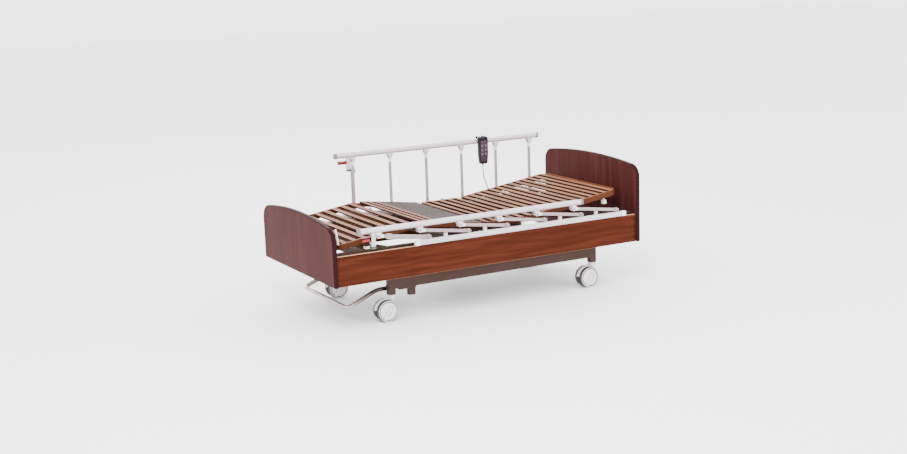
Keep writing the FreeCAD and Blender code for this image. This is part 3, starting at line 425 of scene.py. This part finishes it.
PAINTS = {
    "chassis_paint": ((0.046, 0.024, 0.018), 0.50, {"specular": 0.12}),
    "drive_plastic": ((0.018, 0.018, 0.020), 0.50, {"peel": 0.15, "specular": 0.15}),
    "nylon": ((0.76, 0.74, 0.68), 0.40, {"shade": 0.9}),
    "wire_steel": ((0.078, 0.062, 0.056), 0.45, {"metallic": 0.2, "specular": 0.15}),
    "cord_rubber": ((0.014, 0.013, 0.015), 0.50, {"specular": 0.15}),
    "handset_case": ((0.012, 0.006, 0.010), 0.45, {"peel": 0.10, "specular": 0.12}),
    "handset_face": ((0.050, 0.028, 0.045), 0.50, {"peel": 0.08, "specular": 0.12}),
    "handset_key": ((0.125, 0.080, 0.120), 0.50, {"peel": 0.08, "specular": 0.15}),
    "caster_housing": ((0.66, 0.60, 0.62), 0.32, {"shade": 0.9}),
    "caster_wheel": ((0.62, 0.58, 0.63), 0.28, {"shade": 0.93, "coat": 0.2}),
    # Painted shade for the wheels' grooves.
    "groove_shade": ((0.034, 0.034, 0.032), 0.50, {"peel": 0.12, "specular": 0.15}),
    "tyre": ((0.060, 0.058, 0.056), 0.55, {"peel": 0.12, "specular": 0.15}),
    "wheel_cover": ((0.20, 0.19, 0.21), 0.40, {"shade": 0.9}),
    # The rails' under colour is painted shade on their undersides.
    "rail_white": ((0.56, 0.48, 0.53), 0.30, {"shade": 0.93, "coat": 0.1, "under": (0.14, 0.105, 0.125)}),
    "post_paint": ((0.30, 0.235, 0.250), 0.34, {"shade": 0.85, "coat": 0.05, "specular": 0.3}),
    "rail_cap": ((0.17, 0.145, 0.160), 0.50, {"specular": 0.25}),
    "base_cap": ((0.80, 0.79, 0.79), 0.40, {"shade": 0.93}),
    "latch_green": ((0.060, 0.072, 0.066), 0.50, {"specular": 0.2}),
    "release_red": ((0.25, 0.008, 0.012), 0.32, {"shade": 0.8, "coat": 0.1, "specular": 0.3}),
}
for paint_name, (paint_colour, paint_roughness, extras) in PAINTS.items():
    MATERIALS[paint_name] = paint(paint_name, paint_colour, paint_roughness, **extras)


# ---- handset cord ------------------------------------------------------------------
CORD_RADIUS = 3.25 * MM
CORD_POINTS = [
    (486, 461, 684.5), (486, 461, 634), (498, 462, 585), (521, 462, 529), (552, 461, 466),
    (570, 460, 398), (556, 460, 333), (504, 459, 297), (436, 458, 282), (366, 454, 279),
    (298, 444, 286), (236, 419, 299), (182, 376, 308), (140, 327, 318), (104, 301, 350),
    (100, 300, 391.6),
]


def spline_points(points):
    """Points along the smooth NURBS line that has the route as its control points."""
    curve = bpy.data.curves.new("route", "CURVE")
    curve.dimensions = "3D"
    curve.resolution_u = 10
    spline = curve.splines.new("NURBS")
    spline.points.add(len(points) - 1)
    for point, place in zip(spline.points, points):
        point.co = (*[MM * value for value in place], 1.0)
    spline.order_u = 3
    spline.use_endpoint_u = True
    obj = link(bpy.data.objects.new("route", curve))
    bpy.context.view_layer.update()
    graph = bpy.context.evaluated_depsgraph_get()
    mesh = bpy.data.meshes.new_from_object(obj.evaluated_get(graph))
    line = [vertex.co.copy() for vertex in mesh.vertices]
    bpy.data.objects.remove(obj)
    return line


def handset_cord():
    """The handset's lead, a round tube along a smooth route."""
    line = spline_points(CORD_POINTS)
    bm = bmesh.new()
    add_tube(bm, line, CORD_RADIUS, 16)
    cord = mesh_object("handset_lead", bm, "upper", MATERIALS["cord_rubber"])
    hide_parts("handset_cord")
    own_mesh(cord)


handset_cord()


# ---- softened CAD shapes -----------------------------------------------------------
SOFT_EDGES = {
    "board_wood": (1.2, ["footboard", "headboard"]),
    "chassis_paint": (1.6, ["chassis_frame", "upper_frame", "lift_arm_main", "lift_arm_second", "back_lever",
                            "knee_lever"]),
    "drive_plastic": (1.5, ["twin_drive", "lift_actuator", "control_box"]),
    "frame_wood": (2.5, ["seat_frame", "back_frame", "thigh_frame", "calf_frame"]),
    "nylon": (1.0, ["back_pads", "mattress_stops"]),
    "caster_housing": (2.0, [f"caster_fork_{end}_{side}" for end in ("foot", "head") for side in SIDES]),
    "rail_white": (0.8, [f"{part}_rail_{side}" for part in ("base", "top") for side in SIDES]),
}


def soften_nodes():
    for slot, (width, nodes) in SOFT_EDGES.items():
        for node in nodes:
            softened(node, width * MM, MATERIALS[slot])


def finish_nodes():
    """Give the CAD nodes that stay visible their material."""
    for entry in frame["record"]["subparts"]:
        obj = NODES[entry["node"]]
        obj.data.materials.clear()
        obj.data.materials.append(MATERIALS[entry["material_slot"]])


def piece(name, bm, body, material, slot=None):
    """A finished detail piece on a body, with its rounded edges shaded smooth."""
    obj = mesh_object(name, bm, body, MATERIALS[material])
    return obj


# ---- screws ------------------------------------------------------------------------
def centre_of(node):
    """The middle of a node's box."""
    low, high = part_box(node)
    return (low + high) / 2


def slat_screws():
    """A small countersunk screw at each end of every slat."""
    sections = {"seat_slats": "upper", "back_slats": "back", "thigh_slats": "thigh", "calf_slats": "calf"}
    for node, body in sections.items():
        bm = bmesh.new()
        for island in slat_islands(node):
            low = Vector(min(v[i] for v in island) for i in range(3))
            high = Vector(max(v[i] for v in island) for i in range(3))
            tilt = island_normal(island)
            middle = (low + high) / 2
            for y in (low.y + 0.016, high.y - 0.016):
                spot = Vector((middle.x, y, middle.z)) + tilt * 0.0049
                add_dome(bm, spot, 0.0036, tilt, 0.18, 14)
        piece(node + "_screws", bm, body, "wire_steel")


def slat_islands(node):
    """The points of each separate solid of a node."""
    bm = bmesh.new()
    bm.from_mesh(NODES[node].data)
    bmesh.ops.remove_doubles(bm, verts=bm.verts, dist=0.00002)
    left, found = set(bm.verts), []
    while left:
        stack, island = [left.pop()], []
        while stack:
            vert = stack.pop()
            island.append(vert.co.copy())
            for edge in vert.link_edges:
                other = edge.other_vert(vert)
                if other in left:
                    left.discard(other)
                    stack.append(other)
        found.append(island)
    bm.free()
    return found


def island_normal(points):
    """The upward normal of a slat, from its two longest diagonals in XZ."""
    low = min(points, key=lambda p: p.x)
    high = max(points, key=lambda p: p.x)
    lows = [p for p in points if abs(p.x - low.x) < 0.0006]
    highs = [p for p in points if abs(p.x - high.x) < 0.0006]
    a = sum(lows, Vector()) / len(lows)
    b = sum(highs, Vector()) / len(highs)
    across = Vector((b.x - a.x, 0, b.z - a.z)).normalized()
    return Vector((-across.z, 0, across.x))


CONTROL_BOX_UNDERSIDE_Z = 0.3999


def drive_details():
    """Four screws under the control box."""
    low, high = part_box("control_box")
    bm = bmesh.new()
    for x in (low.x + 0.030, high.x - 0.014):
        for y in (low.y + 0.014, high.y - 0.014):
            add_dome(bm, (x, y, CONTROL_BOX_UNDERSIDE_Z), 0.0045, (0, 0, -1), 0.3, 16)
    piece("control_box_screws", bm, "upper", "wire_steel")


# ---- casters -----------------------------------------------------------------------
# Wheel profiles as (radius, distance from the middle plane) in mm.
TREAD = [(40.0, 10.0), (52.0, 9.4), (58.5, 9.2), (61.5, 10.4), (63.2, 13.5), (63.5, 19.0), (63.5, 30.5),
         (63.0, 34.2), (61.6, 36.0), (60.2, 36.4)]
RIM = [(60.6, 36.0), (60.2, 37.2), (59.0, 37.9), (57.6, 38.0), (56.6, 37.6), (56.2, 36.4)]
GROOVE = [(56.5, 36.3), (54.0, 36.9), (50.4, 36.3)]
DISC = [(50.8, 36.2), (50.4, 37.3), (49.0, 37.8), (40.0, 38.0), (26.0, 37.7), (12.0, 37.2), (0.0, 37.0)]
INNER = [(40.5, 10.2), (39.0, 11.5), (20.0, 12.0), (9.0, 12.0), (9.0, 10.0)]
BAR_HALF_WIDTH, BAR_GROOVE_HALF_WIDTH = 0.0115, 0.0125


def lathe_piece(name, profile, centre, facing, body, material):
    """A turned piece of a wheel, on its left or right face."""
    bm = bmesh.new()
    add_lathe(bm, [(r * MM, o * MM) for r, o in profile], centre, (0, facing, 0))
    obj = piece(name, bm, body, material, "caster_wheel")
    return bevelled(obj, 0.0003, 2, 30)


def round_end(start, ahead, across, half_width):
    """Points around the half-round end of the bar."""
    angles = [math.pi * k / 24 for k in range(25)]
    return [start - ahead * half_width * math.sin(a) + across * half_width * math.cos(a) for a in angles]


def wheel_handle(name, centre, facing, body):
    """Raised rounded bar across the wheel's cover, from near the hub into the rim."""
    start, end = Vector((0.016, 0, 0.013)), Vector((-0.024, 0, -0.047))
    ahead = (end - start).normalized()
    across = Vector((ahead.z, 0, -ahead.x))
    outline = round_end(start, ahead, across, BAR_HALF_WIDTH)
    outline += [end - across * BAR_HALF_WIDTH, end + across * BAR_HALF_WIDTH]
    bm = bmesh.new()
    rings = []
    for inset, depth in ((1.0, 36.2), (1.0, 37.6), (0.93, 38.0)):
        ring = []
        middle = (start + end) / 2
        for point in outline:
            spot = middle + (point - middle) * inset
            ring.append(bm.verts.new(Vector(centre) + Vector((spot.x, facing * depth * MM, spot.z))))
        rings.append(ring)
    skin(bm, rings)
    obj = piece(name, bm, body, "caster_wheel")
    bevelled(obj, 0.0002, 1, 30)
    # The groove round the bar is a thin dark tube: painted shade in the groove.
    bm = bmesh.new()
    groove = round_end(start, ahead, across, BAR_GROOVE_HALF_WIDTH)
    groove = [end + across * BAR_GROOVE_HALF_WIDTH, *groove, end - across * BAR_GROOVE_HALF_WIDTH]
    add_tube(bm, [Vector(centre) + Vector((p.x, facing * 36.60 * MM, p.z)) for p in groove], 0.0016, 8)
    piece(name + "_groove", bm, body, "groove_shade", "caster_wheel")


def casters():
    """Twin wheels with a tread, rim, grooved cover and bar, on a common axle."""
    for end in ("foot", "head"):
        for side in SIDES:
            node = f"caster_wheels_{end}_{side}"
            body = f"wheels_{end}_{side}"
            centre = centre_of(node)
            main = None
            for facing in (-1, 1):
                tag = "left" if facing < 0 else "right"
                tread = lathe_piece(f"{node}_tread_{tag}", TREAD, centre, facing, body, "tyre")
                main = main or tread
                lathe_piece(f"{node}_rim_{tag}", RIM, centre, facing, body, "caster_wheel")
                # The groove ring is painted dark: painted shade in the recess.
                lathe_piece(f"{node}_groove_{tag}", GROOVE, centre, facing, body, "groove_shade")
                lathe_piece(f"{node}_disc_{tag}", DISC, centre, facing, body, "caster_wheel")
                lathe_piece(f"{node}_inner_{tag}", INNER, centre, facing, body, "wheel_cover")
                wheel_handle(f"{node}_bar_{tag}", centre, facing, body)
            bm = bmesh.new()
            add_tube(bm, [centre + Vector((0, y * MM, 0)) for y in (-36, -30, 0, 30, 36)], 6.0 * MM, 24)
            piece(f"{node}_axle", bm, body, "wire_steel")
            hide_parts(node)


# ---- side rails --------------------------------------------------------------------
# The top rail's cap as (distance past the rail's end, growth of its radius) in mm.
TOP_CAP = [(-14.0, 0.2), (-13.6, 0.9), (0.4, 0.9), (2.6, -0.2), (4.4, -3.0), (5.0, -6.5)]


def rail_caps():
    """Moulded end caps on the oval top rails and white blocks on the lower bars."""
    for side, sign in SIDES.items():
        low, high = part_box("top_rail_" + side)
        y, z = sign * RAIL_Y, high.z - 0.0165
        for end, x, facing in (("foot", low.x, -1), ("head", high.x, 1)):
            bm = bmesh.new()
            rings = []
            for offset, grow in TOP_CAP:
                ring = []
                for k in range(40):
                    a = 2 * math.pi * k / 40
                    r = (12.0 + grow) * MM
                    flat = 4.5 * MM * (1 if math.sin(a) > 0 else -1 if math.sin(a) < 0 else 0)
                    up = z + r * math.sin(a) + flat
                    ring.append(bm.verts.new((x + facing * offset * MM, y + r * math.cos(a), up)))
                rings.append(ring)
            skin(bm, rings)
            piece(f"top_rail_{side}_cap_{end}", bm, "rail_top_" + side, "rail_cap", "rail_white")
        low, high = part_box("base_rail_" + side)
        for end, x, facing in (("foot", low.x, -1), ("head", high.x, 1)):
            bm = bmesh.new()
            middle = (x - facing * 13.5 * MM, sign * RAIL_Y, BASE_RAIL_Z)
            add_box(bm, middle, (31 * MM, 22.8 * MM, 30.8 * MM))
            obj = piece(f"base_rail_{side}_cap_{end}", bm, "upper", "base_cap", "rail_white")
            bevelled(obj, 0.0045, 4)


def post_points(node):
    """Lower pivot, upper pivot of a post at rest."""
    near = "near" in node
    index = int(node[-1]) - 1
    lower = Vector((FIRST_POST_X + POST_PITCH * index, -RAIL_Y if near else RAIL_Y, POST_FOOT_Z))
    angle = math.radians(FOLDED_DEG if near else 90.0)
    return lower, lower + POST_LENGTH * Vector((-math.cos(angle), 0, math.sin(angle)))


def posts():
    """Tapered sleeves, collars and pin heads on the rail posts."""
    for side, sign in SIDES.items():
        for index in range(1, POST_COUNT + 1):
            node = f"post_{side}_{index}"
            lower, upper = post_points(node)
            ahead = (upper - lower).normalized()
            softened(node, 0.6 * MM, MATERIALS["post_paint"])
            bm = bmesh.new()
            profile = [(9.6, 12), (10.4, 12.6), (10.5, 16), (10.1, 30), (9.9, 33), (9.55, 34)]
            add_lathe(bm, [(r * MM, -o * MM) for r, o in profile], upper, ahead, 32)
            piece(node + "_sleeve", bm, node, "base_cap", "post_paint")
            bm = bmesh.new()
            profile = [(9.55, 13), (10.6, 13.6), (10.8, 17), (10.6, 21), (9.55, 22)]
            add_lathe(bm, [(r * MM, o * MM) for r, o in profile], lower, ahead, 32)
            piece(node + "_collar", bm, node, "rail_cap", "post_paint")
            bm = bmesh.new()
            add_dome(bm, (lower.x, sign * 0.5005, lower.z), 0.0072, (0, sign, 0), 0.45, 24)
            piece(node + "_foot_cap", bm, "upper", "rail_cap", "rail_white")
            bm = bmesh.new()
            add_dome(bm, (upper.x, sign * 0.5049, upper.z), 0.0062, (0, sign, 0), 0.45, 24)
            piece(node + "_pin_head", bm, "rail_top_" + side, "rail_cap", "rail_white")


def release_handles():
    """Red pull handles, open on their inner side, with a small latch block under the bracket."""
    for side, sign in SIDES.items():
        node = "release_handle_" + side
        body = "release_" + side
        pivot = post_points(f"post_{side}_1")[1]
        x0, x1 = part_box(node)[0].x, pivot.x - 0.0416
        z1 = pivot.z - 0.001
        z0 = z1 - 0.022
        outer = sign * 0.500
        inner = sign * 0.482
        bm = bmesh.new()
        add_box(bm, ((x0 + x1) / 2, (outer + inner) / 2, z1 - 0.0045), (x1 - x0, 0.018, 0.009))
        add_box(bm, ((x0 + x1) / 2, outer - sign * 0.0025, (z0 + z1) / 2), (x1 - x0, 0.005, z1 - z0))
        add_box(bm, (x1 - 0.006, (outer + inner) / 2, (z0 + z1) / 2), (0.012, 0.018, z1 - z0))
        add_box(bm, (x0 + 0.004, (outer + inner) / 2, z1 - 0.007), (0.008, 0.018, 0.014))
        grip = piece(node + "_grip", bm, body, "release_red")
        bevelled(grip, 0.0018, 3)
        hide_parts(node)
        bm = bmesh.new()
        pin_ends = (x1 - 0.002, pivot.x - 0.017)
        add_tube(bm, [(x, sign * RAIL_Y, pivot.z - 0.012) for x in pin_ends], 0.004, 20)
        piece(node + "_pin", bm, body, "wire_steel")
        bm = bmesh.new()
        add_box(bm, (pivot.x - 0.029, sign * RAIL_Y, pivot.z - 0.060), (0.0252, 0.0172, 0.014))
        block = piece(node + "_block", bm, "rail_top_" + side, "latch_green", "rail_white")
        bevelled(block, 0.002, 3)


def rest_caps():
    """White nylon caps on the blocks that carry the leg section's tabs."""
    for side, sign in SIDES.items():
        bm = bmesh.new()
        add_box(bm, (-0.780, sign * 0.430, 0.4615), (0.0306, 0.0246, 0.0200))
        obj = piece("rest_cap_" + side, bm, "upper", "base_cap", "nylon")
        bevelled(obj, 0.003, 3)


# ---- handset -----------------------------------------------------------------------
def rounded_outline(points, radius, steps=8):
    """A closed outline in XZ with its corners rounded."""
    result = []
    count = len(points)
    for i in range(count):
        before, corner, after = (Vector(points[(i + k) % count]) for k in (-1, 0, 1))
        r = radius[i] if isinstance(radius, (list, tuple)) else radius
        first, second = (before - corner).normalized(), (after - corner).normalized()
        half = first.angle(second) / 2
        cut = r / math.tan(half)
        start, end = corner + first * cut, corner + second * cut
        middle = corner + (first + second).normalized() * (r / math.sin(half))
        a0 = math.atan2(*(start - middle).yx)
        a1 = math.atan2(*(end - middle).yx)
        while a1 - a0 > math.pi:
            a1 -= 2 * math.pi
        while a1 - a0 < -math.pi:
            a1 += 2 * math.pi
        for k in range(steps + 1):
            a = a0 + (a1 - a0) * k / steps
            result.append((middle.x + r * math.cos(a), middle.y + r * math.sin(a)))
    return result


def add_prism(bm, outline, levels, centre):
    """A closed form from an XZ outline at several (Y, scale) levels."""
    rings = []
    for y, scale in levels:
        ring = []
        for x, z in outline:
            spot = (centre[0] + (x - centre[0]) * scale, y, centre[1] + (z - centre[1]) * scale)
            ring.append(bm.verts.new(spot))
        rings.append(ring)
    skin(bm, rings)


# Hook parts as (Y, Z) and (depth, height).
HOOK_PARTS = [((0.4895, 0.8692), (0.0372, 0.0024)), ((0.5058, 0.8588), (0.0040, 0.0232)),
              ((0.4715, 0.8590), (0.0060, 0.0228))]


def handset():
    """Hand control: tapered case, inset face plate, hooks and a strain relief."""
    low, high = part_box("handset")
    x = (low.x + high.x) / 2
    z0, z1 = 0.6932, 0.8690
    y0, y1 = 0.4487, 0.4743
    middle = (x, (z0 + z1) / 2)
    corners = [(x - 0.0270, z0), (x + 0.0270, z0), (x + 0.0330, z0 + 0.060), (x + 0.0330, z1),
               (x - 0.0330, z1), (x - 0.0330, z0 + 0.060)]
    outline = rounded_outline(corners, [0.014, 0.014, 0.020, 0.010, 0.010, 0.020])
    bm = bmesh.new()
    add_prism(bm, outline, [(y1, 0.955), (y1 - 0.0012, 0.985), (y1 - 0.004, 1.0), (y0 + 0.005, 1.0),
                            (y0 + 0.0015, 0.98), (y0, 0.94)], middle)
    case = piece("handset_shell", bm, "handset", "handset_case")
    bevelled(case, 0.0008, 2, 30)
    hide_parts("handset")
    bm = bmesh.new()
    corners = [(x - 0.0215, z0 + 0.016), (x + 0.0215, z0 + 0.016), (x + 0.0250, z0 + 0.060),
               (x + 0.0250, z1 - 0.024), (x - 0.0250, z1 - 0.024), (x - 0.0250, z0 + 0.060)]
    face = rounded_outline(corners, 0.007)
    add_prism(bm, face, [(y0 + 0.001, 1.0), (y0 - 0.0006, 1.0), (y0 - 0.0010, 0.99)], middle)
    piece("handset_face_plate", bm, "handset", "handset_face", "handset_case")
    bm = bmesh.new()
    for sx in (-1, 1):
        for (y, z), (depth, height) in HOOK_PARTS:
            add_box(bm, (x + sx * 0.020, y, z), (0.014, depth, height))
    hooks = piece("handset_hooks", bm, "handset", "handset_case")
    bevelled(hooks, 0.0007, 2)
    bm = bmesh.new()
    relief = [(0, -0.2), (5.4, 0.0), (5.5, 2.0), (5.0, 3.0), (5.2, 4.0), (4.6, 5.2), (4.7, 6.2),
              (4.0, 7.8), (0.0, 8.0)]
    add_lathe(bm, [(r * MM, o * MM) for r, o in relief], (0.486, 0.461, z0), (0, 0, -1), 24)
    piece("handset_relief", bm, "handset", "cord_rubber")


def key_marks():
    """Raised plain triangles on the keys, pointing up or down."""
    for index in range(1, 7):
        node = f"handset_button_{index}"
        low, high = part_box(node)
        x, z, y = (low.x + high.x) / 2, (low.z + high.z) / 2, low.y
        up = 1 if index % 2 else -1
        bm = bmesh.new()
        corners = [(x - 0.0032, z - up * 0.0022), (x + 0.0032, z - up * 0.0022), (x, z + up * 0.0032)]
        add_prism(bm, corners, [(y + 0.0002, 1.0), (y - 0.0003, 1.0)], (x, z))
        piece(node + "_mark", bm, f"key_{index}", "handset_face", "handset_key")


soften_nodes()
finish_nodes()
slat_screws()
drive_details()
casters()
rail_caps()
posts()
release_handles()
rest_caps()
handset()
key_marks()


# ---- stage -------------------------------------------------------------------------
def floor():
    """A wide, nearly white floor."""
    bm = bmesh.new()
    bmesh.ops.create_grid(bm, x_segments=1, y_segments=1, size=30.0)
    plane = mesh_object("floor", bm, None, None, False)
    shader = Shader("floor", 0.75)
    tone = shader.noise(0.8, 3.0)
    colour = shader.mix((0.96, 0.96, 0.96), (0.94, 0.94, 0.94), tone)
    plane.data.materials.append(shader.set(Base_Color=colour))


def area_light(name, place, aim, size, power):
    """A round white area light aimed at a point."""
    data = bpy.data.lights.new(name, "AREA")
    data.shape = "DISK"
    data.size = size
    data.energy = power
    light = bpy.data.objects.new(name, data)
    light.location = place
    light.rotation_euler = (Vector(aim) - Vector(place)).to_track_quat("-Z", "Y").to_euler()
    link(light)


def studio():
    """A white world and three soft lights."""
    world = bpy.data.worlds.new("studio")
    world.use_nodes = True
    world.node_tree.nodes["Background"].inputs["Color"].default_value = (1, 1, 1, 1)
    world.node_tree.nodes["Background"].inputs["Strength"].default_value = 3.4
    bpy.context.scene.world = world
    area_light("key", (-3.0, -4.0, 5.0), (0, 0, 0.4), 3.0, 420)
    area_light("fill", (4.0, -5.0, 3.0), (0, 0, 0.4), 4.0, 150)
    area_light("back", (1.0, 5.0, 4.5), (0, 0, 0.5), 4.0, 200)


floor()
studio()
